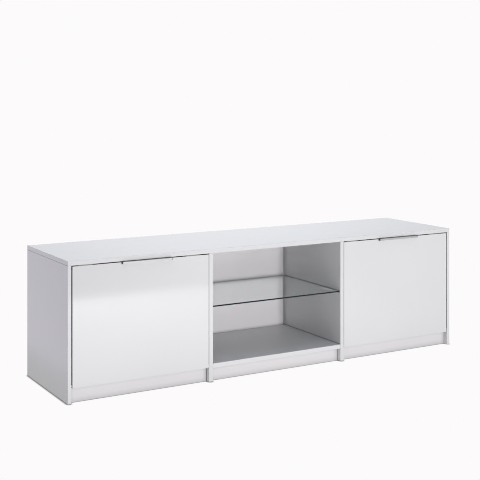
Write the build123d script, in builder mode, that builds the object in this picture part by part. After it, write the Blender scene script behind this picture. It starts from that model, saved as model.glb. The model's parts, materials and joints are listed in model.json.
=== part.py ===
from build123d import *
from math import atan2, cos, degrees, radians, sin, sqrt
from typing import NamedTuple
import os

# A low TV bench of flat-pack boards: a top, two end panels and two partitions make three bays.
# Each outer bay is closed by a bottom-hinged flap door, and the middle bay is open, with a glass
# shelf. Millimetres, +Z up, +X to the right as seen from the front, and the front faces -Y.
# The origin is on the floor at the middle of the whole outline, door pulls included.

# ---------------------------------------------------------------- driving dimensions
WIDTH = 1600
DEPTH = 400  # of the carcass, without the door pulls
HEIGHT = 460
BOARD = 15  # thickness of the top, partitions, bottoms, plinths and doors
END_BOARD = 12  # thickness of the two end panels
MIDDLE_BAY = 540  # clear width between the partitions
PLINTH_HEIGHT = 48
PLINTH_SETBACK = 20
EDGE_RADIUS = 0.6

DOOR_TOP_GAP = 3
DOOR_OUTER_GAP = 4  # to the end panel
DOOR_INNER_GAP = 1.5  # to the partition
DOOR_LIFT = 2  # from the plinth's top edge up to the door's lower edge
PULL_LENGTH = 182
PULL_SHIFTS = {"left": 14, "right": 4}  # how far right of its door's centre each pull sits
PULL_SHEET = 1.5
PULL_PROUD = 9
PULL_LIP = 7
PULL_LEG = 16
PULL_BEND = 1
PULL_CAP = 1.5  # thickness of the caps at its ends, within its length

HARDBOARD = 3
GROOVE_DEPTH = 5
GROOVE_SLACK = 0.2
BACK_BOARD = 12
CABLE_SLOT = 5

GLASS = 5
GLASS_SIDE_GAP = 1
GLASS_SETBACK = 6
GLASS_BACK_GAP = 2
SHELF_PIN_RADIUS = 2.5
SHELF_PIN_HOLD = 8
SLEEVE_WALL = 0.5

CAM_RADIUS = 7.5
CAM_SKIN = 2.5  # board left behind a cam
CAM_REACH = 24  # from a cam's centre to the joint
BOLT_RADIUS = 3
BOLT_SLACK = 0.1
DOWEL_RADIUS = 3
SCREW_RADIUS = 1.5
SCREW_HEAD_RADIUS = 3
SCREW_HEAD = 1.8

PIVOT_RADIUS = 3
PIVOT_PLAY = 0.05
PIVOT_IN_DOOR = 20
BUSH_RADIUS = 4.5
BUSH_DEPTH = 10
BUSH_END = 1  # closed end of a bush
PIN_END_ROOM = 0.5  # from a pin's end to the closed end of its bush
BUSH_FLANGE = 1
BUSH_FLANGE_RADIUS = 6.5

# Flap stay: the rod's two pivots are equally far from the door's pivot, so the rod always
# points through the swivel housing and turns by exactly half of the door's angle.
STAY_RADIUS = 150
STAY_HOUSING_ANGLE = 48  # of the housing, above the horizontal, seen from the door's pivot
STAY_STAND_OFF = 12  # of the rod's pivot from the door's inner face
STAY_ROD_RADIUS = 3
STAY_ROD_OFFSET = 17.5  # of the rod's line from the end panel's inner face
STAY_HOUSING_SIZE = 26
STAY_STOP = 6
DOOR_TRAVEL = 90

# ---------------------------------------------------------------- places worked out from them
FRONT = (PULL_PROUD - DEPTH) / 2
BACK = FRONT + DEPTH
UNDER_TOP = HEIGHT - BOARD
BOTTOM_TOP = PLINTH_HEIGHT + BOARD
BOTTOM_MIDDLE = PLINTH_HEIGHT + BOARD / 2
INSIDE = WIDTH / 2 - END_BOARD  # inner face of an end panel, from the middle of the bench
PARTITION_IN = MIDDLE_BAY / 2
PARTITION_OUT = PARTITION_IN + BOARD
PLINTH_FRONT = FRONT + PLINTH_SETBACK
PLINTH_BACK = PLINTH_FRONT + BOARD
BACK_FACE = BACK - BACK_BOARD  # front face of the middle bay's back panel
SIDES = {"left": -1, "right": 1}

DOOR_X = (PARTITION_OUT + DOOR_INNER_GAP, INSIDE - DOOR_OUTER_GAP)
DOOR_Y = (FRONT, FRONT + BOARD)
DOOR_Z = (PLINTH_HEIGHT + DOOR_LIFT, UNDER_TOP - DOOR_TOP_GAP)
DOOR_INNER = DOOR_Y[1]
PIVOT_Y = FRONT + BOARD / 2
PIVOT_Z = DOOR_Z[0] + BOARD / 2

SHELF_PIN_Z = (BOTTOM_TOP + UNDER_TOP) / 2
SHELF_PIN_YS = (FRONT + 60, FRONT + 330)
GLASS_UNDER = SHELF_PIN_Z + SHELF_PIN_RADIUS + SLEEVE_WALL

# Stay geometry in the plane of the end panel, as (y, z).
housing_y = PIVOT_Y + STAY_RADIUS * cos(radians(STAY_HOUSING_ANGLE))
housing_z = PIVOT_Z + STAY_RADIUS * sin(radians(STAY_HOUSING_ANGLE))
eye_y = DOOR_INNER + STAY_STAND_OFF
eye_z = PIVOT_Z + sqrt(STAY_RADIUS**2 - (eye_y - PIVOT_Y) ** 2)
ROD_DIRECTION = Vector(0, housing_y - eye_y, housing_z - eye_z).normalized()
eye_angle = degrees(atan2(eye_z - PIVOT_Z, eye_y - PIVOT_Y))
OPEN_REACH = 2 * STAY_RADIUS * sin(radians((eye_angle + DOOR_TRAVEL - STAY_HOUSING_ANGLE) / 2))
STOP_START = OPEN_REACH + STAY_HOUSING_SIZE / 2 + 0.3
EYE_RADIUS = 7
EYE_THICKNESS = 7

os.makedirs("parts", exist_ok=True)


# ---------------------------------------------------------------- helpers
def write(builder, name):
    """Names a finished piece and writes it to its own file."""
    builder.part.label = name
    export_step(builder.part, f"parts/{name}.step")


def span(side, near, far):
    """X range on one side of the bench, from two distances from its middle."""
    return tuple(sorted((side * near, side * far)))


def block(x, y, z, mode=Mode.ADD):
    """A box between two corners, added to or cut from the piece being built."""
    with BuildSketch(Plane.XY.offset(z[0])) as outline:
        with Locations((sum(x) / 2, sum(y) / 2)):
            Rectangle(x[1] - x[0], y[1] - y[0])
    extrude(outline.sketch, amount=z[1] - z[0], mode=mode)


def bar(start, direction, radius, length, mode=Mode.ADD):
    """A round bar, or a drilled hole, from a point along a direction."""
    with BuildSketch(Plane(origin=start, z_dir=direction)) as outline:
        Circle(radius)
    extrude(outline.sketch, amount=length, mode=mode)


# ---------------------------------------------------------------- fittings that join the boards
class Cam(NamedTuple):
    """A cam lock in one board that pulls on a bolt held by another board."""

    housed_in: str
    bolted_to: str
    mouth: Vector  # centre of the cam's open face
    inwards: Vector
    thickness: float  # of the board that houses it
    pull: Vector  # from the cam towards the other board
    anchor: float  # length of bolt inside the other board

    @property
    def bolt_start(self):
        return self.mouth + self.inwards * (self.thickness / 2)


class Dowel(NamedTuple):
    """A wooden dowel across a joint: short end in one board, long end in the other."""

    short_in: str
    long_in: str
    joint: Vector
    towards_long: Vector
    short: float
    long: float


class Screw(NamedTuple):
    """A pan-head screw through a fitting into a board."""

    group: str
    through: tuple
    seat: Vector  # underside of the head
    inwards: Vector
    length: float


X_AXIS = Vector(1, 0, 0)
Y_AXIS = Vector(0, 1, 0)
Z_AXIS = Vector(0, 0, 1)

cams, dowels, screws = [], [], []

# Every upright is pulled up to the top by two cams and kept in line by a dowel.
for side_name, side in SIDES.items():
    end_panel, partition = f"{side_name}_side_panel", f"{side_name}_partition"
    uprights = (
        (end_panel, side * INSIDE, side * X_AXIS, END_BOARD),
        (partition, side * PARTITION_OUT, -side * X_AXIS, BOARD),
    )
    for upright, face_x, inwards, thickness in uprights:
        for y in (FRONT + 60, BACK - 70):
            mouth = Vector(face_x, y, UNDER_TOP - CAM_REACH)
            cams.append(Cam(upright, "top_panel", mouth, inwards, thickness, Z_AXIS, 10))
        middle = face_x + inwards.X * thickness / 2
        joint = Vector(middle, FRONT + 195, UNDER_TOP)
        dowels.append(Dowel("top_panel", upright, joint, -Z_AXIS, 10, 20))

    # The outer bay's bottom panel and plinth hang between the end panel and the partition.
    bottom, plinth = f"{side_name}_bottom_panel", f"{side_name}_plinth"
    for upright, face_x, to_board in (
        (end_panel, side * INSIDE, -side * X_AXIS),
        (partition, side * PARTITION_OUT, side * X_AXIS),
    ):
        for y in (FRONT + 90, BACK - 50):
            mouth = Vector(face_x, y, PLINTH_HEIGHT) + to_board * CAM_REACH
            cams.append(Cam(bottom, upright, mouth, Z_AXIS, BOARD, -to_board, 9))
        joint = Vector(face_x, FRONT + 200, BOTTOM_MIDDLE)
        dowels.append(Dowel(upright, bottom, joint, to_board, 7, 18))
        joint = Vector(face_x, (PLINTH_FRONT + PLINTH_BACK) / 2, PLINTH_HEIGHT / 2)
        dowels.append(Dowel(upright, plinth, joint, to_board, 7, 18))

    # So do the middle bay's, between the two partitions.
    for y in (FRONT + 60, BACK - 90):
        mouth = Vector(side * (PARTITION_IN - CAM_REACH), y, PLINTH_HEIGHT)
        cams.append(Cam("middle_bottom_panel", partition, mouth, Z_AXIS, BOARD, side * X_AXIS, 6))
    joint = Vector(side * PARTITION_IN, FRONT + 170, BOTTOM_MIDDLE)
    dowels.append(Dowel(partition, "middle_bottom_panel", joint, -side * X_AXIS, 7, 18))
    joint = Vector(side * PARTITION_IN, (PLINTH_FRONT + PLINTH_BACK) / 2, PLINTH_HEIGHT / 2)
    dowels.append(Dowel(partition, "middle_plinth", joint, -side * X_AXIS, 7, 18))

    # The middle back panel stands on the bottom panel, doweled to it and to the top.
    back_x, back_y = side * 180, BACK - BACK_BOARD / 2
    joint = Vector(back_x, back_y, UNDER_TOP)
    dowels.append(Dowel("top_panel", "middle_back_panel", joint, -Z_AXIS, 10, 20))
    joint = Vector(back_x, back_y, BOTTOM_TOP)
    dowels.append(Dowel("middle_bottom_panel", "middle_back_panel", joint, Z_AXIS, 10, 20))

# Plinth brackets: two to each plinth, screwed to it and to the bottom panel above it.
BRACKET_LEG = 18
BRACKET_SHEET = 3
BRACKET_WIDTH = 20
bracket_xs = {
    "left": [-(PARTITION_OUT + INSIDE) / 2 + offset for offset in (-150, 150)],
    "middle": [-150, 150],
    "right": [(PARTITION_OUT + INSIDE) / 2 + offset for offset in (-150, 150)],
}
for bay, xs in bracket_xs.items():
    for x in xs:
        seat = Vector(x, PLINTH_BACK + BRACKET_SHEET, PLINTH_HEIGHT - BRACKET_LEG + 5.5)
        through = ("plinth_brackets", f"{bay}_plinth")
        screws.append(Screw("plinth_bracket_screws", through, seat, -Y_AXIS, 12))
        seat = Vector(x, PLINTH_BACK + BRACKET_LEG - 5.5, PLINTH_HEIGHT - BRACKET_SHEET)
        through = ("plinth_brackets", f"{bay}_bottom_panel")
        screws.append(Screw("plinth_bracket_screws", through, seat, Z_AXIS, 12))

# Magnetic catches: two above each door, near its upper corners.
CATCH_INSET = 50
CATCH_BODY = 30
CATCH_FLANGE = 52
CATCH_DROP = 18
CATCH_DEPTH = 23
CATCH_SHEET = 3
STRIKE = 1.5
STRIKE_WIDTH = 52
STRIKE_Z = (DOOR_Z[1] - 16, DOOR_Z[1] - 1)
CATCH_SCREW = 20.5
catch_front = DOOR_INNER + STRIKE + 0.5
catch_distances = (DOOR_X[0] + CATCH_INSET, DOOR_X[1] - CATCH_INSET)
for side_name, side in SIDES.items():
    for distance in catch_distances:
        for offset in (-CATCH_SCREW, CATCH_SCREW):
            x = side * distance + offset
            seat = Vector(x, catch_front + CATCH_DEPTH / 2, UNDER_TOP - CATCH_SHEET)
            through = (f"{side_name}_magnetic_catches", "top_panel")
            screws.append(Screw("catch_screws", through, seat, Z_AXIS, 12))
            seat = Vector(x, DOOR_INNER + STRIKE, sum(STRIKE_Z) / 2)
            through = (f"{side_name}_strike_plates", f"{side_name}_door_panel")
            screws.append(Screw(f"{side_name}_door_screws", through, seat, -Y_AXIS, 10))

# Screws of the door pulls and of the flap stays.
STAY_PLATE = 3
STAY_PLATE_SIZE = (24, 50)
STAY_BRACKET_X = (21.5, 48)  # from the end panel's inner face
STAY_BRACKET_HEIGHT = 30
for side_name, side in SIDES.items():
    pull_x = side * sum(DOOR_X) / 2 + PULL_SHIFTS[side_name]
    for offset in (-PULL_LENGTH / 2 + 16, 0, PULL_LENGTH / 2 - 16):
        seat = Vector(pull_x + offset, DOOR_INNER + PULL_SHEET, DOOR_Z[1] - PULL_LEG + 8)
        through = (f"{side_name}_door_pull", f"{side_name}_door_panel")
        screws.append(Screw(f"{side_name}_door_screws", through, seat, -Y_AXIS, 10))
    for offset in (-9, 9):
        x = side * (INSIDE - STAY_BRACKET_X[1] + 8)
        seat = Vector(x, DOOR_INNER + STAY_PLATE, eye_z + offset)
        through = (f"{side_name}_stay_bracket", f"{side_name}_door_panel")
        screws.append(Screw(f"{side_name}_door_screws", through, seat, -Y_AXIS, 12))
    for offset in (-20, 20):
        seat = Vector(side * (INSIDE - STAY_PLATE), housing_y, housing_z + offset)
        through = (f"{side_name}_stay_base", f"{side_name}_side_panel")
        screws.append(Screw("stay_base_screws", through, seat, side * X_AXIS, 10))


def machine(name):
    """Drills the piece being built for every fitting that enters it."""
    for cam in cams:
        if cam.housed_in == name:
            depth = cam.thickness - CAM_SKIN
            bar(cam.mouth, cam.inwards, CAM_RADIUS, depth, Mode.SUBTRACT)
            bolt_hole = BOLT_RADIUS + BOLT_SLACK
            bar(cam.bolt_start, cam.pull, bolt_hole, CAM_REACH + 1, Mode.SUBTRACT)
        if cam.bolted_to == name:
            joint = cam.bolt_start + cam.pull * CAM_REACH
            bar(joint, cam.pull, BOLT_RADIUS, cam.anchor, Mode.SUBTRACT)
    for dowel in dowels:
        if dowel.short_in == name:
            bar(dowel.joint, -dowel.towards_long, DOWEL_RADIUS, dowel.short, Mode.SUBTRACT)
        if dowel.long_in == name:
            bar(dowel.joint, dowel.towards_long, DOWEL_RADIUS, dowel.long, Mode.SUBTRACT)
    for screw in screws:
        if name in screw.through:
            bar(screw.seat, screw.inwards, SCREW_RADIUS, screw.length, Mode.SUBTRACT)


# ---------------------------------------------------------------- boards
boards = {
    "top_panel": ((-WIDTH / 2, WIDTH / 2), (FRONT, BACK), (UNDER_TOP, HEIGHT)),
    "middle_bottom_panel": (
        (-PARTITION_IN, PARTITION_IN),
        (FRONT, BACK),
        (PLINTH_HEIGHT, BOTTOM_TOP),
    ),
    "middle_plinth": (
        (-PARTITION_IN, PARTITION_IN),
        (PLINTH_FRONT, PLINTH_BACK),
        (0, PLINTH_HEIGHT),
    ),
    "middle_back_panel": (
        (CABLE_SLOT - PARTITION_IN, PARTITION_IN - CABLE_SLOT),
        (BACK_FACE, BACK),
        (BOTTOM_TOP, UNDER_TOP),
    ),
}
for side_name, side in SIDES.items():
    bay_x = span(side, PARTITION_OUT, INSIDE)
    end_x = span(side, INSIDE, WIDTH / 2)
    partition_x = span(side, PARTITION_IN, PARTITION_OUT)
    boards[f"{side_name}_side_panel"] = (end_x, (FRONT, BACK), (0, UNDER_TOP))
    boards[f"{side_name}_partition"] = (partition_x, (FRONT, BACK), (0, UNDER_TOP))
    boards[f"{side_name}_bottom_panel"] = (bay_x, (PLINTH_FRONT, BACK), (PLINTH_HEIGHT, BOTTOM_TOP))
    boards[f"{side_name}_plinth"] = (bay_x, (PLINTH_FRONT, PLINTH_BACK), (0, PLINTH_HEIGHT))
    boards[f"{side_name}_door_panel"] = (span(side, *DOOR_X), DOOR_Y, DOOR_Z)

# Thin back panels of the outer bays, which slide in grooves in the four boards around them.
hardboards = {}
for side_name, side in SIDES.items():
    reach = GROOVE_DEPTH - 2 * GROOVE_SLACK
    hardboards[side_name] = (
        span(side, PARTITION_OUT - reach, INSIDE + reach),
        (BACK_FACE, BACK_FACE + HARDBOARD),
        (BOTTOM_TOP - reach, UNDER_TOP + reach),
    )

for name, (x, y, z) in boards.items():
    side_name = name.split("_")[0]
    with BuildPart() as board:
        block(x, y, z)
        fillet(board.edges(), EDGE_RADIUS)
        for bay, ranges in hardboards.items():
            touches_bay = name == "top_panel" or (bay == side_name and "door" not in name)
            if touches_bay and "plinth" not in name:
                block(*[(low - GROOVE_SLACK, high + GROOVE_SLACK) for low, high in ranges],
                      mode=Mode.SUBTRACT)
        machine(name)
        if name.endswith("partition"):
            for pin_y in SHELF_PIN_YS:
                start = (SIDES[side_name] * PARTITION_IN, pin_y, SHELF_PIN_Z)
                inwards = SIDES[side_name] * X_AXIS
                bar(start, inwards, SHELF_PIN_RADIUS, SHELF_PIN_HOLD, Mode.SUBTRACT)
            start = (SIDES[side_name] * PARTITION_OUT, PIVOT_Y, PIVOT_Z)
            bar(start, -SIDES[side_name] * X_AXIS, BUSH_RADIUS, BUSH_DEPTH, Mode.SUBTRACT)
        if name.endswith("side_panel"):
            start = (SIDES[side_name] * INSIDE, PIVOT_Y, PIVOT_Z)
            bar(start, SIDES[side_name] * X_AXIS, BUSH_RADIUS, BUSH_DEPTH, Mode.SUBTRACT)
        if name.endswith("door_panel"):
            for end_x, inwards in ((x[0], X_AXIS), (x[1], -X_AXIS)):
                start = (end_x, PIVOT_Y, PIVOT_Z)
                bar(start, inwards, PIVOT_RADIUS, PIVOT_IN_DOOR, Mode.SUBTRACT)
    write(board, name)

for side_name, ranges in hardboards.items():
    with BuildPart() as back_panel:
        block(*ranges)
    write(back_panel, f"{side_name}_back_panel")

# ---------------------------------------------------------------- glass shelf
with BuildPart() as glass_shelf:
    block(
        (GLASS_SIDE_GAP - PARTITION_IN, PARTITION_IN - GLASS_SIDE_GAP),
        (FRONT + GLASS_SETBACK, BACK_FACE - GLASS_BACK_GAP),
        (GLASS_UNDER, GLASS_UNDER + GLASS),
    )
    chamfer(glass_shelf.edges(), 0.5)
write(glass_shelf, "glass_shelf")

pin_places = [(side, y) for side in SIDES.values() for y in SHELF_PIN_YS]
with BuildPart() as shelf_pins:
    for side, y in pin_places:
        start = (side * (PARTITION_IN + SHELF_PIN_HOLD), y, SHELF_PIN_Z)
        bar(start, -side * X_AXIS, SHELF_PIN_RADIUS, 2 * SHELF_PIN_HOLD)
write(shelf_pins, "shelf_pins")

SLEEVE_LENGTH = 7
with BuildPart() as shelf_pin_sleeves:
    for side, y in pin_places:
        start = (side * (PARTITION_IN - 0.5), y, SHELF_PIN_Z)
        bar(start, -side * X_AXIS, SHELF_PIN_RADIUS + SLEEVE_WALL, SLEEVE_LENGTH)
    for side, y in pin_places:
        start = (side * (PARTITION_IN - 0.5), y, SHELF_PIN_Z)
        bar(start, -side * X_AXIS, SHELF_PIN_RADIUS, SLEEVE_LENGTH, Mode.SUBTRACT)
write(shelf_pin_sleeves, "shelf_pin_sleeves")

# ---------------------------------------------------------------- cams, bolts, dowels, screws
with BuildPart() as cam_locks:
    for cam in cams:
        bar(cam.mouth, cam.inwards, CAM_RADIUS, cam.thickness - CAM_SKIN)
    for cam in cams:
        # The bolt's head enters the cam from the side, and a cross slot takes the driver.
        bar(cam.bolt_start, cam.pull, BOLT_RADIUS + BOLT_SLACK, CAM_RADIUS + 1, Mode.SUBTRACT)
        for turn in (0, 90):
            with BuildSketch(Plane(origin=cam.mouth, z_dir=cam.inwards)) as slot:
                Rectangle(8, 1.2, rotation=turn)
            extrude(slot.sketch, amount=1.5, mode=Mode.SUBTRACT)
write(cam_locks, "cam_locks")

with BuildPart() as cam_bolts:
    for cam in cams:
        bar(cam.bolt_start, cam.pull, BOLT_RADIUS, CAM_REACH + cam.anchor)
write(cam_bolts, "cam_bolts")

with BuildPart() as dowel_pins:
    for dowel in dowels:
        start = dowel.joint - dowel.towards_long * dowel.short
        bar(start, dowel.towards_long, DOWEL_RADIUS, dowel.short + dowel.long)
write(dowel_pins, "dowels")

for group in dict.fromkeys(screw.group for screw in screws):
    with BuildPart() as screw_set:
        for screw in screws:
            if screw.group == group:
                bar(screw.seat, screw.inwards, SCREW_RADIUS, screw.length)
                bar(screw.seat, -screw.inwards, SCREW_HEAD_RADIUS, SCREW_HEAD)
        for screw in screws:
            if screw.group == group:
                crown = screw.seat - screw.inwards * SCREW_HEAD
                for turn in (0, 90):
                    with BuildSketch(Plane(origin=crown, z_dir=screw.inwards)) as slot:
                        Rectangle(3.6, 0.7, rotation=turn)
                    extrude(slot.sketch, amount=1, mode=Mode.SUBTRACT)
    write(screw_set, group)

with BuildPart() as plinth_brackets:
    for xs in bracket_xs.values():
        for x in xs:
            with BuildSketch(Plane.YZ.offset(x - BRACKET_WIDTH / 2)) as profile:
                with BuildLine():
                    FilletPolyline(
                        (PLINTH_BACK + BRACKET_SHEET, PLINTH_HEIGHT - BRACKET_LEG),
                        (PLINTH_BACK + BRACKET_SHEET, PLINTH_HEIGHT - BRACKET_SHEET),
                        (PLINTH_BACK + BRACKET_LEG, PLINTH_HEIGHT - BRACKET_SHEET),
                        radius=1,
                    )
                    Polyline(
                        (PLINTH_BACK + BRACKET_LEG, PLINTH_HEIGHT - BRACKET_SHEET),
                        (PLINTH_BACK + BRACKET_LEG, PLINTH_HEIGHT),
                        (PLINTH_BACK, PLINTH_HEIGHT),
                        (PLINTH_BACK, PLINTH_HEIGHT - BRACKET_LEG),
                        (PLINTH_BACK + BRACKET_SHEET, PLINTH_HEIGHT - BRACKET_LEG),
                    )
                make_face()
            extrude(profile.sketch, amount=BRACKET_WIDTH)
    machine("plinth_brackets")
write(plinth_brackets, "plinth_brackets")

# ---------------------------------------------------------------- doors
for side_name, side in SIDES.items():
    door_x = span(side, *DOOR_X)
    bay_x = span(side, PARTITION_OUT, INSIDE)
    pivots = ((door_x[0], bay_x[0], -X_AXIS), (door_x[1], bay_x[1], X_AXIS))

    # Pivot pins in the door's lower corners, and their flanged bushes in the uprights.
    with BuildPart() as pivot_pins:
        for end_x, face_x, outwards in pivots:
            start = Vector(end_x, PIVOT_Y, PIVOT_Z) - outwards * PIVOT_IN_DOOR
            in_bush = BUSH_DEPTH - BUSH_END - PIN_END_ROOM
            length = PIVOT_IN_DOOR + abs(face_x - end_x) + in_bush
            bar(start, outwards, PIVOT_RADIUS, length)
    write(pivot_pins, f"{side_name}_pivot_pins")

    with BuildPart() as pivot_bushes:
        for end_x, face_x, outwards in pivots:
            face = Vector(face_x, PIVOT_Y, PIVOT_Z)
            bar(face, outwards, BUSH_RADIUS, BUSH_DEPTH)
            bar(face, -outwards, BUSH_FLANGE_RADIUS, BUSH_FLANGE)
            bore_start = face - outwards * BUSH_FLANGE
            bore = BUSH_DEPTH + BUSH_FLANGE - BUSH_END
            bar(bore_start, outwards, PIVOT_RADIUS + PIVOT_PLAY, bore, Mode.SUBTRACT)
    write(pivot_bushes, f"{side_name}_pivot_bushes")

    # Edge pull: a bent strip over the door's top edge, with a lip hanging in front of it, and a
    # cap at each end that closes the hollow between the lip and the door.
    pull_x = side * sum(DOOR_X) / 2 + PULL_SHIFTS[side_name]
    top_z = DOOR_Z[1] + PULL_SHEET
    leg_back = DOOR_INNER + PULL_SHEET
    lip_front = FRONT - PULL_PROUD
    with BuildPart() as door_pull:
        with BuildSketch(Plane.YZ.offset(pull_x - PULL_LENGTH / 2 + PULL_CAP)) as profile:
            with BuildLine():
                Polyline(
                    (lip_front, top_z),
                    (leg_back, top_z),
                    (leg_back, DOOR_Z[1] - PULL_LEG),
                    (DOOR_INNER, DOOR_Z[1] - PULL_LEG),
                    (DOOR_INNER, DOOR_Z[1]),
                    (lip_front + PULL_SHEET, DOOR_Z[1]),
                    (lip_front + PULL_SHEET, top_z - PULL_LIP),
                    (lip_front, top_z - PULL_LIP),
                    close=True,
                )
            make_face()
            corners = profile.vertices().filter_by(lambda v: abs(v.Y - top_z) < PULL_BEND)
            fillet(corners, PULL_BEND)
        extrude(profile.sketch, amount=PULL_LENGTH - 2 * PULL_CAP)
        machine(f"{side_name}_door_pull")
    write(door_pull, f"{side_name}_door_pull")

    with BuildPart() as pull_end_caps:
        for start_x in (pull_x - PULL_LENGTH / 2, pull_x + PULL_LENGTH / 2 - PULL_CAP):
            with BuildSketch(Plane.YZ.offset(start_x)) as profile:
                with Locations((lip_front + PULL_PROUD / 2, top_z - PULL_LIP / 2)):
                    Rectangle(PULL_PROUD, PULL_LIP)
                fillet(profile.vertices().sort_by_distance((lip_front, top_z, 0))[0], PULL_BEND)
            extrude(profile.sketch, amount=PULL_CAP)
    write(pull_end_caps, f"{side_name}_pull_end_caps")

    with BuildPart() as strike_plates:
        for distance in catch_distances:
            x = side * distance
            strike_x = (x - STRIKE_WIDTH / 2, x + STRIKE_WIDTH / 2)
            block(strike_x, (DOOR_INNER, DOOR_INNER + STRIKE), STRIKE_Z)
        fillet(strike_plates.edges().filter_by(Axis.Y), 2)
        machine(f"{side_name}_strike_plates")
    write(strike_plates, f"{side_name}_strike_plates")

    with BuildPart() as magnetic_catches:
        for distance in catch_distances:
            x = side * distance
            y = (catch_front, catch_front + CATCH_DEPTH)
            body_z = (UNDER_TOP - CATCH_DROP, UNDER_TOP)
            block((x - CATCH_BODY / 2, x + CATCH_BODY / 2), y, body_z)
            flange_x = (x - CATCH_FLANGE / 2, x + CATCH_FLANGE / 2)
            block(flange_x, y, (UNDER_TOP - CATCH_SHEET, UNDER_TOP))
        fillet(magnetic_catches.edges().filter_by(Axis.Z), 1)
        for distance in catch_distances:
            x = side * distance
            pocket_z = (UNDER_TOP - CATCH_DROP + 3, UNDER_TOP - CATCH_SHEET - 2)
            pocket_y = (catch_front, catch_front + 8)
            block((x - 11, x + 11), pocket_y, pocket_z, Mode.SUBTRACT)
        machine(f"{side_name}_magnetic_catches")
    write(magnetic_catches, f"{side_name}_magnetic_catches")

    # ------------------------------------------------------------ flap stay
    def stay_x(distance):
        """X at a distance from the end panel's inner face."""
        return side * (INSIDE - distance)

    inwards = -side * X_AXIS
    swivel = Vector(stay_x(0), housing_y, housing_z)
    eye = Vector(stay_x(STAY_ROD_OFFSET), eye_y, eye_z)

    POST_RADIUS = 4
    POST_LENGTH = 8
    with BuildPart() as stay_base:
        with BuildSketch(Plane(origin=swivel, x_dir=Y_AXIS, z_dir=inwards)) as plate:
            RectangleRounded(*STAY_PLATE_SIZE, 5)
        extrude(plate.sketch, amount=STAY_PLATE)
        bar(swivel, inwards, POST_RADIUS, STAY_PLATE + POST_LENGTH)
        machine(f"{side_name}_stay_base")
    write(stay_base, f"{side_name}_stay_base")

    HOUSING_NEAR = STAY_PLATE + 0.5
    HOUSING_FAR = 24
    housing_face = Vector(stay_x(HOUSING_NEAR), housing_y, housing_z)
    brake_face = Vector(stay_x(HOUSING_FAR), housing_y, housing_z)
    with BuildPart() as stay_housing:
        plane = Plane(origin=housing_face, x_dir=ROD_DIRECTION, z_dir=inwards)
        with BuildSketch(plane) as outline:
            RectangleRounded(STAY_HOUSING_SIZE, STAY_HOUSING_SIZE, 8)
        extrude(outline.sketch, amount=HOUSING_FAR - HOUSING_NEAR)
        bore = POST_LENGTH - 0.5 + 0.3
        bar(housing_face, inwards, POST_RADIUS + PIVOT_PLAY, bore, Mode.SUBTRACT)
        rod_line = Vector(stay_x(STAY_ROD_OFFSET), housing_y, housing_z)
        hole_start = rod_line - ROD_DIRECTION * STAY_HOUSING_SIZE
        hole_radius = STAY_ROD_RADIUS + PIVOT_PLAY
        bar(hole_start, ROD_DIRECTION, hole_radius, 2 * STAY_HOUSING_SIZE, Mode.SUBTRACT)
        bar(brake_face, -inwards, 2, 3, Mode.SUBTRACT)
    write(stay_housing, f"{side_name}_stay_housing")

    BRAKE_HEAD = 4
    with BuildPart() as brake_screw:
        bar(brake_face, inwards, 5, BRAKE_HEAD)
        bar(brake_face, -inwards, 2, 3)
        crown = brake_face + inwards * BRAKE_HEAD
        with BuildSketch(Plane(origin=crown, x_dir=ROD_DIRECTION, z_dir=inwards)) as slot:
            Rectangle(12, 1.2)
        extrude(slot.sketch, amount=-1.5, mode=Mode.SUBTRACT)
    write(brake_screw, f"{side_name}_stay_brake_screw")

    with BuildPart() as stay_rod:
        bar(eye, ROD_DIRECTION, STAY_ROD_RADIUS, STOP_START + STAY_STOP)
        near_side = eye - inwards * (EYE_THICKNESS / 2)
        bar(near_side, inwards, EYE_RADIUS, EYE_THICKNESS)
        bar(near_side, inwards, PIVOT_RADIUS + PIVOT_PLAY, EYE_THICKNESS, Mode.SUBTRACT)
    write(stay_rod, f"{side_name}_stay_rod")

    with BuildPart() as rod_stop:
        start = eye + ROD_DIRECTION * STOP_START
        bar(start, ROD_DIRECTION, STAY_ROD_RADIUS + 2, STAY_STOP)
        bar(start, ROD_DIRECTION, STAY_ROD_RADIUS, STAY_STOP, Mode.SUBTRACT)
    write(rod_stop, f"{side_name}_stay_rod_stop")

    # Door bracket: a plate on the door, an ear, and a stud with a retaining head for the eye.
    EAR_RADIUS = 9
    STUD_END = 12
    STUD_HEAD = 1.5
    with BuildPart() as stay_bracket:
        plate_x = tuple(sorted(stay_x(distance) for distance in STAY_BRACKET_X))
        plate_z = (eye_z - STAY_BRACKET_HEIGHT / 2, eye_z + STAY_BRACKET_HEIGHT / 2)
        block(plate_x, (DOOR_INNER, DOOR_INNER + STAY_PLATE), plate_z)
        ear_face = Vector(stay_x(STAY_BRACKET_X[0]), eye_y, eye_z)
        bar(ear_face, inwards, EAR_RADIUS, STAY_PLATE)
        ear_x = tuple(sorted((ear_face.X, ear_face.X + inwards.X * STAY_PLATE)))
        block(ear_x, (DOOR_INNER, eye_y), (eye_z - EAR_RADIUS, eye_z + EAR_RADIUS))
        stud = STAY_BRACKET_X[0] - STUD_END
        bar(ear_face, -inwards, PIVOT_RADIUS, stud)
        head_face = Vector(stay_x(STUD_END), eye_y, eye_z)
        bar(head_face, inwards, PIVOT_RADIUS + 1.5, STUD_HEAD)
        machine(f"{side_name}_stay_bracket")
    write(stay_bracket, f"{side_name}_stay_bracket")

with BuildPart() as catch_magnets:
    for side in SIDES.values():
        for distance in catch_distances:
            x = side * distance
            magnet_z = (UNDER_TOP - CATCH_DROP + 3, UNDER_TOP - CATCH_SHEET - 2)
            block((x - 11, x + 11), (catch_front - 0.3, catch_front + 8), magnet_z)
write(catch_magnets, "catch_magnets")
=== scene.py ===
import json
import math

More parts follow.
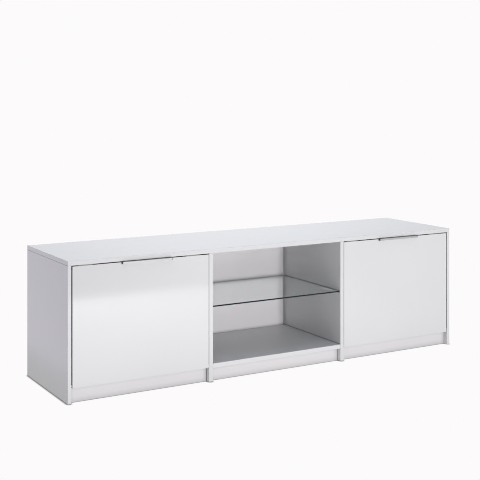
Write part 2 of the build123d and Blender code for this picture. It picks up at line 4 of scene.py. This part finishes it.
import bpy
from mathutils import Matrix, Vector


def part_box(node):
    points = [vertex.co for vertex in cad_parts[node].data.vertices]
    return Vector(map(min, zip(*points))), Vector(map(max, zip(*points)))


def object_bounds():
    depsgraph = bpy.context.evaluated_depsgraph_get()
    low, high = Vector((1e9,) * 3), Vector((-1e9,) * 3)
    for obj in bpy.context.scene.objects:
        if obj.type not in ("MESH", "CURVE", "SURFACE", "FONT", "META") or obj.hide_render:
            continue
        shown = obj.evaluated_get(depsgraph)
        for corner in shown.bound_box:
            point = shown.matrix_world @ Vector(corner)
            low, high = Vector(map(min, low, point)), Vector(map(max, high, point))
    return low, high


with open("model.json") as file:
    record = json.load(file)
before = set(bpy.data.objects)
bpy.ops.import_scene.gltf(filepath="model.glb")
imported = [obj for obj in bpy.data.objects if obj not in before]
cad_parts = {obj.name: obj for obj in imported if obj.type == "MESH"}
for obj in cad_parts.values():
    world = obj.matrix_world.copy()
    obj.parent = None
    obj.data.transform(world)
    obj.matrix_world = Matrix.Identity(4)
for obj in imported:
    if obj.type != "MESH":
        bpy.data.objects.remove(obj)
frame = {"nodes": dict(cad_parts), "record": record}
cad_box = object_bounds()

# Everything is in metres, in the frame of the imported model: +Z up, -Y out of the front.
scene = bpy.context.scene


# ---------------------------------------------------------------- node helpers
class Nodes:
    """Short ways to add nodes to a node tree and to join them."""

    def __init__(self, tree):
        self.tree = tree

    def add(self, kind, **settings):
        """Adds a node. A setting goes to the input of that name, or else to the node itself."""
        node = self.tree.nodes.new("ShaderNode" + kind)
        for key, value in settings.items():
            if key in node.inputs:
                node.inputs[key].default_value = value
            else:
                setattr(node, key, value)
        return node

    def join(self, source, target):
        self.tree.links.new(source, target)

    def feed(self, value, target):
        """Joins an output to an input, or sets the input to a plain number, vector or colour."""
        if isinstance(value, bpy.types.NodeSocket):
            self.join(value, target)
        elif target.type == "RGBA":
            target.default_value = (*value, 1)
        else:
            target.default_value = value

    def coordinates(self, stretch=(1, 1, 1)):
        """The piece's own coordinates in metres, times a scale."""
        place = self.add("TexCoord")
        mapping = self.add("Mapping", Scale=stretch)
        self.join(place.outputs["Object"], mapping.inputs["Vector"])
        return mapping.outputs["Vector"]

    def axes(self, kind):
        """The X, Y and Z of a point ("Object") or of the way its surface faces ("Normal")."""
        place = self.add("TexCoord")
        parts = self.add("SeparateXYZ")
        self.join(place.outputs[kind], parts.inputs["Vector"])
        return parts.outputs

    def noise(self, scale, detail, stretch=(1, 1, 1), roughness=0.5):
        texture = self.add("TexNoise", Scale=scale, Detail=detail, Roughness=roughness)
        self.join(self.coordinates(stretch), texture.inputs["Vector"])
        return texture.outputs["Fac"]

    def open_sky(self, reach):
        """The share of a point's surroundings, within a reach, that nothing stands in."""
        return self.add("AmbientOcclusion", Distance=reach).outputs["AO"]

    def between(self, value, low, high, ends=(0.0, 1.0), curve="LINEAR"):
        """Maps a value that runs from one end to the other to a number from low to high."""
        node = self.add("MapRange", interpolation_type=curve)
        node.inputs["From Min"].default_value, node.inputs["From Max"].default_value = ends
        node.inputs["To Min"].default_value = low
        node.inputs["To Max"].default_value = high
        self.join(value, node.inputs["Value"])
        return node.outputs["Result"]

    def fade(self, value, ends):
        """A soft step from 0 to 1 between two ends."""
        return self.between(value, 0.0, 1.0, ends, "SMOOTHSTEP")

    def ramp(self, factor, *stops):
        """Maps a 0 to 1 value to colours, given as stops of position and colour."""
        node = self.add("ValToRGB")
        elements = node.color_ramp.elements
        while len(elements) < len(stops):
            elements.new(0.5)
        for element, (position, colour) in zip(elements, stops):
            element.position = position
            element.color = (*colour, 1)
        self.join(factor, node.inputs["Fac"])
        return node.outputs["Color"]

    def mix(self, factor, first, second):
        """The first colour where the factor is 0, and the second where it is 1."""
        node = self.add("Mix", data_type="RGBA")
        self.feed(factor, node.inputs["Factor"])
        self.feed(first, node.inputs["A"])
        self.feed(second, node.inputs["B"])
        return node.outputs["Result"]

    def math(self, operation, first, second=0.0):
        node = self.add("Math", operation=operation)
        self.feed(first, node.inputs[0])
        self.feed(second, node.inputs[1])
        return node.outputs["Value"]

    def size(self, value):
        return self.math("ABSOLUTE", value)

    def times(self, first, second):
        """A product. Of two masks, it is 1 only where both are."""
        return self.math("MULTIPLY", first, second)

    def over(self, value, limit):
        """A mask: 1 where the value is over the limit, else 0."""
        return self.math("GREATER_THAN", value, limit)

    def under(self, value, limit):
        """A mask: 1 where the value is under the limit, else 0."""
        return self.math("LESS_THAN", value, limit)


class Shader(Nodes):
    """A new material, with a Principled shader."""

    def __init__(self, name):
        self.material = bpy.data.materials.new(name)
        self.material.use_nodes = True
        super().__init__(self.material.node_tree)
        self.bsdf = self.tree.nodes["Principled BSDF"]
        self.output = self.tree.nodes["Material Output"]

    def set(self, **values):
        """Sets plain numbers on the Principled shader itself."""
        for key, value in values.items():
            self.bsdf.inputs[key.replace("_", " ")].default_value = value

    def colour(self, source):
        self.join(source, self.bsdf.inputs["Base Color"])

    def rough(self, source):
        self.join(source, self.bsdf.inputs["Roughness"])

    def bump(self, height, distance, strength=1.0):
        node = self.add("Bump", Strength=strength, Distance=distance)
        self.join(height, node.inputs["Height"])
        self.join(node.outputs["Normal"], self.bsdf.inputs["Normal"])


# ---------------------------------------------------------------- boards
# Tones are the two colours that a finish varies between, and gloss is the lowest and the
# highest roughness.
FOIL_TONES = ((0.725, 0.725, 0.735), (0.745, 0.745, 0.755))
PLINTH_TONES = ((0.755, 0.735, 0.75), (0.775, 0.755, 0.77))
BACK_TONES = ((0.85, 0.83, 0.845), (0.87, 0.85, 0.865))
FOIL_GLOSS = (0.10, 0.17)
WORN_GLOSS = (0.38, 0.48)
RAW_ROUGHNESS = 0.85
PEEL_DEPTH = 0.00002
THIN_SHADE = (0.10, 0.10, 0.11)  # the colour of the painted shade line under the top panel and of the painted contact shadow on the floor

# The shares of open sky between which the painted crevice shade goes from its darkest to the
# board's own colour.
PAINTED_SHADE_SKY_RANGE = (0.35, 1.0)
# How far the painted shade in seams, gaps and inner corners reaches, and what is left of the
# colour where it is darkest.
CREVICE_PAINTED_SHADE = {"reach": 0.005, "darkest": 0.25}
BACK_PAINTED_SHADE = {"reach": 0.012, "darkest": 0.5}
PLINTH_PAINTED_SHADE = {"reach": 0.018, "darkest": 0.72}
NO_PAINTED_SHADE = {"reach": 0.005, "darkest": 1.0}

# Painted shade along the joint under the top panel: where the joint is, half of the painted line's
# height, and how dark the line is.
UNDER_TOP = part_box("top_panel")[0].z
JOINT_LINE = 0.0012
JOINT_SHADE = 0.30

# A surface looks along an axis where its normal's part on that axis is over this.
LOOKS_ALONG = 0.5
LOOKS_SQUARELY = 0.9
BACK_SKIN = 0.001  # the rear edges are the surfaces within this of the bench's back


def foil_gloss(s, gloss=FOIL_GLOSS):
    return s.between(s.noise(scale=14.0, detail=4.0), *gloss)


def white_foil(s, tones=FOIL_TONES):
    """The white of every board: a trace of uneven tone, and a faint orange peel."""
    low, high = tones
    s.bump(s.noise(scale=160.0, detail=1.0), PEEL_DEPTH)
    s.set(IOR=1.5)
    return s.ramp(s.noise(scale=3.0, detail=3.0), (0.3, low), (0.7, high))


def with_painted_crevice_shade(s, colour, reach, darkest):
    """Paints shade into a colour where little open sky is: in seams, gaps and inner corners."""
    shade = s.between(s.open_sky(reach), low=darkest, high=1.0, ends=PAINTED_SHADE_SKY_RANGE)
    return s.mix(shade, (0.0, 0.0, 0.0), colour)


def gloss_board():
    """High-gloss lacquer of the doors: a clear coat over the white, with painted shade in their
    seams and gaps.
    """
    s = Shader("white_gloss_door")
    # Painted shade darkens the doors' colour in their seams and gaps.
    s.colour(with_painted_crevice_shade(s, white_foil(s), **CREVICE_PAINTED_SHADE))
    s.rough(foil_gloss(s))
    s.set(Coat_Weight=1.0, Coat_Roughness=0.06, Coat_IOR=1.6)
    return s.material


def foil_board():
    """The middle bay's back panel, in a lighter white than the other boards, with painted shade
    that reaches further into its corners.
    """
    s = Shader("white_foil_board")
    # Painted shade darkens the back panel towards its edges and corners.
    s.colour(with_painted_crevice_shade(s, white_foil(s, BACK_TONES), **BACK_PAINTED_SHADE))
    s.rough(foil_gloss(s))
    return s.material


def chipboard(s):
    """Bare chips with finer dust among them, in the browns of resin-bound wood."""
    chips = s.add("TexVoronoi", Scale=420.0, Randomness=1.0)
    s.join(s.coordinates((0.45, 1, 1)), chips.inputs["Vector"])
    dust = s.noise(scale=700.0, detail=4.0)
    dust_share = 0.4
    grey = s.add("RGBToBW")
    s.join(s.mix(dust_share, chips.outputs["Color"], dust), grey.inputs["Color"])
    return s.ramp(
        grey.outputs["Val"],
        (0.2, (0.20, 0.12, 0.06)),
        (0.5, (0.42, 0.28, 0.16)),
        (0.8, (0.58, 0.43, 0.27)),
    )


def painted_joint_shade_mask(s, facing, place):
    """A mask of the painted shade line along the joint under the top panel, on the outer faces of
    the side panels.
    """
    looks_out = s.over(s.size(facing["X"]), LOOKS_ALONG)
    at_end = s.over(s.size(place["X"]), cad_box[1].x - JOINT_LINE)
    from_joint = s.size(s.math("SUBTRACT", place["Z"], UNDER_TOP))
    return s.times(s.times(looks_out, at_end), s.under(from_joint, JOINT_LINE))


def raw_edge(s, facing, place):
    """A mask of the narrow edges that face the wall."""
    at_back = s.over(place["Y"], cad_box[1].y - BACK_SKIN)
    return s.times(s.over(facing["Y"], LOOKS_SQUARELY), at_back)


def raw_backed_board(name, tones=FOIL_TONES, gloss=FOIL_GLOSS, painted_shade=CREVICE_PAINTED_SHADE):
    """A board with white foil, painted shade in its seams and corners, a painted shade line under
    the top panel, and bare chipboard on the narrow edges that face the wall.
    """
    s = Shader(name)
    facing = s.axes("Normal")
    place = s.axes("Object")
    # Painted shade darkens the white in seams, gaps and inner corners.
    white = with_painted_crevice_shade(s, white_foil(s, tones), **painted_shade)
    joint_painted_shade = s.times(painted_joint_shade_mask(s, facing, place), JOINT_SHADE)
    raw = raw_edge(s, facing, place)
    # The joint under the top panel gets a thin line of painted shade.
    s.colour(s.mix(raw, s.mix(joint_painted_shade, white, THIN_SHADE), chipboard(s)))
    s.rough(s.math("MAXIMUM", foil_gloss(s, gloss), s.times(raw, RAW_ROUGHNESS)))
    return s.material


def hardboard():
    """Thin fibreboard: white lacquer inside, brown fibres and a screen pattern at the back."""
    s = Shader("hardboard")
    fibres = s.ramp(
        s.noise(scale=240.0, detail=8.0, roughness=0.7),
        (0.3, (0.22, 0.12, 0.06)),
        (0.5, (0.36, 0.22, 0.12)),
        (0.7, (0.47, 0.31, 0.18)),
    )
    lacquer = (0.78, 0.78, 0.78)
    inside = s.under(s.axes("Normal")["Y"], -LOOKS_ALONG)
    s.colour(s.mix(inside, fibres, lacquer))
    fibre_roughness = 0.8
    lacquer_roughness = 0.45
    s.rough(s.between(inside, fibre_roughness, lacquer_roughness))
    screen = s.add("TexWave", Scale=320.0, bands_direction="DIAGONAL")
    s.join(s.coordinates(), screen.inputs["Vector"])
    s.bump(screen.outputs["Fac"], distance=0.0001, strength=0.6)
    return s.material


# ---------------------------------------------------------------- glass, metal, plastic and wood
GLASS_EDGE_PAINTED_DARK = (0.002, 0.012, 0.013)
GLASS_EDGE_ROUGHNESS = 0.8
GLASS_BODY = (0.30, 0.82, 0.76, 1)


def clear_glass():
    """Float glass: clear through its faces. Its ground edges are painted an opaque near-black
    teal, a painted shade for the light that real glass edges trap.
    """
    s = Shader("clear_glass")
    at_edge = s.under(s.size(s.axes("Normal")["Z"]), LOOKS_ALONG)
    # The edge faces are painted near-black teal and let no light through, standing in for light
    # trapped in the glass.
    s.colour(s.mix(at_edge, (1.0, 1.0, 1.0), GLASS_EDGE_PAINTED_DARK))
    s.join(s.math("SUBTRACT", 1.0, at_edge), s.bsdf.inputs["Transmission Weight"])
    face_roughness = s.between(s.noise(scale=30.0, detail=2.0), low=0.0, high=0.012)
    s.rough(s.math("MAXIMUM", face_roughness, s.times(at_edge, GLASS_EDGE_ROUGHNESS)))
    s.set(IOR=1.52)
    absorb = s.add("VolumeAbsorption", Color=GLASS_BODY, Density=9.0)
    s.join(absorb.outputs["Volume"], s.output.inputs["Volume"])
    return s.material


def satin_aluminium():
    """Anodised strip, finely brushed along its length."""
    s = Shader("satin_aluminium")
    brushed = s.noise(scale=900.0, detail=3.0, stretch=(0.02, 1, 1))
    s.colour(s.ramp(brushed, (0.3, (0.50, 0.50, 0.51)), (0.7, (0.60, 0.60, 0.61))))
    s.rough(s.between(brushed, low=0.58, high=0.68))
    s.bump(brushed, distance=0.00001)
    s.set(Metallic=1.0)
    return s.material


def plated_metal(name, tones, gloss):
    """Zinc, plated or cast: cloudy grey crystals, with scattered gloss."""
    s = Shader(name)
    dark, light = tones
    cloud = s.noise(scale=180.0, detail=5.0)
    s.colour(s.ramp(cloud, (0.3, dark), (0.7, light)))
    s.rough(s.between(cloud, *gloss))
    s.bump(s.noise(scale=900.0, detail=2.0), distance=0.00001)
    s.set(Metallic=1.0)
    return s.material


def moulded(name, tones, gloss):
    """Moulded plastic, rubber or magnet, with a fine grain."""
    s = Shader(name)
    dark, light = tones
    s.colour(s.ramp(s.noise(scale=60.0, detail=3.0), (0.3, dark), (0.7, light)))
    s.rough(s.between(s.noise(scale=200.0, detail=3.0), *gloss))
    s.bump(s.noise(scale=1400.0, detail=2.0), distance=0.00002)
    return s.material


def beech():
    """Dowel wood: straight pale grain."""
    s = Shader("beech")
    grain = s.noise(scale=500.0, detail=4.0, stretch=(0.15, 1, 0.15))
    s.colour(s.ramp(grain, (0.3, (0.52, 0.36, 0.21)), (0.7, (0.74, 0.57, 0.38))))
    s.rough(s.between(grain, low=0.55, high=0.75))
    s.bump(grain, distance=0.0001)
    return s.material


# Material slot, tones and gloss of the metals and of the moulded materials.
METALS = (
    ("zinc_plated_steel", ((0.52, 0.53, 0.55), (0.72, 0.73, 0.75)), (0.22, 0.38)),
    ("cast_zinc", ((0.36, 0.37, 0.39), (0.52, 0.53, 0.55)), (0.35, 0.55)),
)
MOULDED = (
    ("white_nylon", ((0.78, 0.78, 0.77), (0.84, 0.84, 0.83)), (0.35, 0.5)),
    ("grey_nylon", ((0.16, 0.165, 0.17), (0.20, 0.205, 0.21)), (0.4, 0.55)),
    ("black_nylon", ((0.050, 0.050, 0.053), (0.070, 0.070, 0.074)), (0.35, 0.5)),
    ("black_rubber", ((0.02, 0.02, 0.02), (0.035, 0.035, 0.035)), (0.7, 0.85)),
    ("clear_sleeve", ((0.70, 0.73, 0.73), (0.80, 0.82, 0.82)), (0.2, 0.3)),
    ("magnet", ((0.03, 0.03, 0.032), (0.06, 0.06, 0.062)), (0.3, 0.45)),
)


def slot_materials():
    """The material of each of the record's material slots."""
    materials = {
        "white_gloss_board": raw_backed_board("white_foil_board_raw_back"),
        "hardboard": hardboard(),
        "clear_glass": clear_glass(),
        "satin_aluminium": satin_aluminium(),
        "beech": beech(),
    }
    for name, tones, gloss in METALS:
        materials[name] = plated_metal(name, tones, gloss)
    for name, tones, gloss in MOULDED:
        materials[name] = moulded(name, tones, gloss)
    return materials


def own_materials():
    """The boards whose finish isn't that of their slot."""
    door = gloss_board()
    # The plinths get painted shade of a wider reach, darker near the boards above them and the
    # floor.
    plinth = raw_backed_board("white_foil_board_plinth", PLINTH_TONES, painted_shade=PLINTH_PAINTED_SHADE)
    return {
        "left_door_panel": door,
        "right_door_panel": door,
        "left_plinth": plinth,
        "middle_plinth": plinth,
        "right_plinth": plinth,
        "middle_back_panel": foil_board(),
        # That panel gets no painted crevice shade, so the gap beside the right door stays light.
        "right_side_panel": raw_backed_board("white_foil_board_no_painted_shade", painted_shade=NO_PAINTED_SHADE),
        # The open bay's floor is duller than the other boards, and mirrors less.
        "middle_bottom_panel": raw_backed_board("white_foil_board_worn", gloss=WORN_GLOSS),
    }


def dress_nodes():
    of_slot = slot_materials()
    of_node = own_materials()
    slots = {row["node"]: row["material_slot"] for row in frame["record"]["subparts"]}
    for name, piece in frame["nodes"].items():
        piece.data.materials.clear()
        piece.data.materials.append(of_node.get(name, of_slot[slots[name]]))


# ---------------------------------------------------------------- camera
# The camera stands in front of the bench's left end. It is level, so that upright edges stay
# upright, and its lens is shifted down to the bench. Its tilt and turn are in degrees.
CAMERA_PLACE = (-1.992, -3.351, 1.007)
CAMERA_LEVEL = 90
CAMERA_TURN = -30.11
CAMERA_LENS = 77.9
CAMERA_SHIFT = -0.311
CAMERA_SEES_TO = 60


def make_camera():
    data = bpy.data.cameras.new("camera")
    data.lens = CAMERA_LENS
    data.shift_y = CAMERA_SHIFT
    data.clip_end = CAMERA_SEES_TO
    camera = bpy.data.objects.new("camera", data)
    camera.location = CAMERA_PLACE
    camera.rotation_euler = (math.radians(CAMERA_LEVEL), 0, math.radians(CAMERA_TURN))
    scene.collection.objects.link(camera)
    scene.camera = camera


# ---------------------------------------------------------------- floor
def greys(*stops):
    """Stops of place and strength, as stops of place and grey."""
    return tuple((place, (level, level, level)) for place, level in stops)


FLOOR_HALF = 30.0
BACKGROUND = (0.975, 0.958, 0.966)
CONTACT_REACH = 0.01
CONTACT_RANGE = (0.5, 0.95)  # the shares of open sky between which the contact shadow fades out

# How strongly the floor glows for every ray but the camera's own, by place along Y. In front of
# the left door it is a pool of light whose far edge that door mirrors, and in front of the right
# door it is nearly even. Left of the bench, it is dim in front and bright towards the back.
GLOW_LEFT = greys(
    (-1.85, 0.0), (-1.68, 2.5), (-1.30, 1.85), (-0.80, 1.25), (-0.45, 1.00), (-0.25, 0.70)
)
GLOW_RIGHT = greys((-1.85, 0.80), (-1.30, 0.75), (-0.80, 0.75), (-0.45, 0.70), (-0.25, 0.65))
GLOW_BESIDE = ((-1.20, (0.30, 0.29, 0.31)), (-0.10, (0.94, 0.91, 0.98)))
GLOW_FAR = -2.5  # all three scales run from this place along Y to 0
GLOW_TOP = 2.5  # the strongest glow
# The places along X between which one scale fades into the next.
BESIDE_TO_LEFT = (-0.99, -0.87)
LEFT_TO_RIGHT = (-0.4, 1.5)


def seen_floor(s):
    """An even near-white with a thin contact shadow."""
    lit = s.between(s.open_sky(CONTACT_REACH), low=0.0, high=1.0, ends=CONTACT_RANGE)
    seen = s.add("Emission", Strength=1.0)
    s.join(s.mix(lit, THIN_SHADE, BACKGROUND), seen.inputs["Color"])
    return seen.outputs["Emission"]


def glow_scale(s, along, stops):
    """The glow along Y, from stops of place and colour."""
    return s.ramp(along, *(
        (1 - place / GLOW_FAR, tuple(level / GLOW_TOP for level in colour))
        for place, colour in stops
    ))


def floor_glow(s):
    """The light that the floor throws back at the bench, and that its doors mirror."""
    place = s.axes("Object")
    along = s.between(place["Y"], low=0.0, high=1.0, ends=(GLOW_FAR, 0.0))
    beside, left, right = (
        glow_scale(s, along, stops) for stops in (GLOW_BESIDE, GLOW_LEFT, GLOW_RIGHT)
    )
    front = s.mix(s.fade(place["X"], LEFT_TO_RIGHT), left, right)
    glow = s.add("Emission", Strength=GLOW_TOP)
    s.join(s.mix(s.fade(place["X"], BESIDE_TO_LEFT), beside, front), glow.inputs["Color"])
    return glow.outputs["Emission"]


def floor_material():
    """What is seen of the floor differs from what lights the bench and mirrors in its doors."""
    s = Shader("floor")
    s.tree.nodes.remove(s.bsdf)
    path = s.add("LightPath")
    blend = s.add("MixShader")
    s.join(path.outputs["Is Camera Ray"], blend.inputs["Fac"])
    s.join(floor_glow(s), blend.inputs[1])
    s.join(seen_floor(s), blend.inputs[2])
    s.join(blend.outputs["Shader"], s.output.inputs["Surface"])
    return s.material


def make_floor():
    mesh = bpy.data.meshes.new("floor")
    edge = FLOOR_HALF
    corners = [(-edge, -edge, 0), (edge, -edge, 0), (edge, edge, 0), (-edge, edge, 0)]
    mesh.from_pydata(corners, [], [(0, 1, 2, 3)])
    mesh.materials.append(floor_material())
    floor = bpy.data.objects.new("floor", mesh)
    scene.collection.objects.link(floor)


# ---------------------------------------------------------------- world and lights
# The dome's even light, and its soft lobes: direction, colour and how narrow each is.
DOME_BASE = (0.135, 0.14, 0.148)
DOME_LOBES = (
    ((0.0, 0.0, 1.0), (0.95, 0.965, 1.01), 4.0),
    ((0.47, 0.87, 0.20), (1.12, 1.135, 1.18), 11.0),
)
# Soft boxes: name, place, what it faces, size, watts, colour.
SOFT_BOXES = (
    ("key", (0.38, -6.0, 0.30), (0.0, 0.0, 0.25), (0.9, 0.5), 159.0, (1.0, 0.985, 0.995)),
    ("behind", (2.0, 4.0, 3.0), (0.0, 0.0, 0.25), (2.0, 1.6), 35.0, (1.0, 1.0, 1.0)),
)


def dome_lobe(dome, looking, towards, tint, narrowness):
    """Light that is strongest in one direction, and fades away from it."""
    facing = dome.add("VectorMath", operation="DOT_PRODUCT")
    dome.join(looking, facing.inputs[0])
    dome.feed(Vector(towards).normalized(), facing.inputs[1])
    strength = dome.math("POWER", dome.math("MAXIMUM", facing.outputs["Value"], 0.0), narrowness)
    lobe = dome.add("VectorMath", operation="SCALE")
    dome.feed(tint, lobe.inputs[0])
    dome.join(strength, lobe.inputs["Scale"])
    return lobe.outputs["Vector"]


def make_world():
    """A soft dome, brighter above and behind. The camera itself sees an even near-white."""
    world = bpy.data.worlds.new("world")
    world.use_nodes = True
    scene.world = world
    dome = Nodes(world.node_tree)
    looking = dome.add("TexCoord").outputs["Generated"]
    total = DOME_BASE
    for towards, tint, narrowness in DOME_LOBES:
        brighter = dome.add("VectorMath", operation="ADD")
        dome.join(dome_lobe(dome, looking, towards, tint, narrowness), brighter.inputs[0])
        dome.feed(total, brighter.inputs[1])
        total = brighter.outputs["Vector"]
    by_camera = dome.add("LightPath").outputs["Is Camera Ray"]
    sky = dome.tree.nodes["Background"]
    dome.join(dome.mix(by_camera, total, BACKGROUND), sky.inputs["Color"])
    sky.inputs["Strength"].default_value = 1.0


def make_lights():
    for name, place, target, size, watts, tint in SOFT_BOXES:
        data = bpy.data.lights.new(name, "AREA")
        data.shape = "RECTANGLE"
        data.size, data.size_y = size
        data.energy = watts
        data.color = tint
        light = bpy.data.objects.new(name, data)
        light.location = place
        towards = Vector(target) - Vector(place)
        light.rotation_euler = towards.to_track_quat("-Z", "Y").to_euler()
        scene.collection.objects.link(light)


dress_nodes()
make_camera()
make_floor()
make_world()
make_lights()
scene.view_settings.view_transform = "Standard"
scene.cycles.use_denoising = True
scene.cycles.filter_width = 1.0
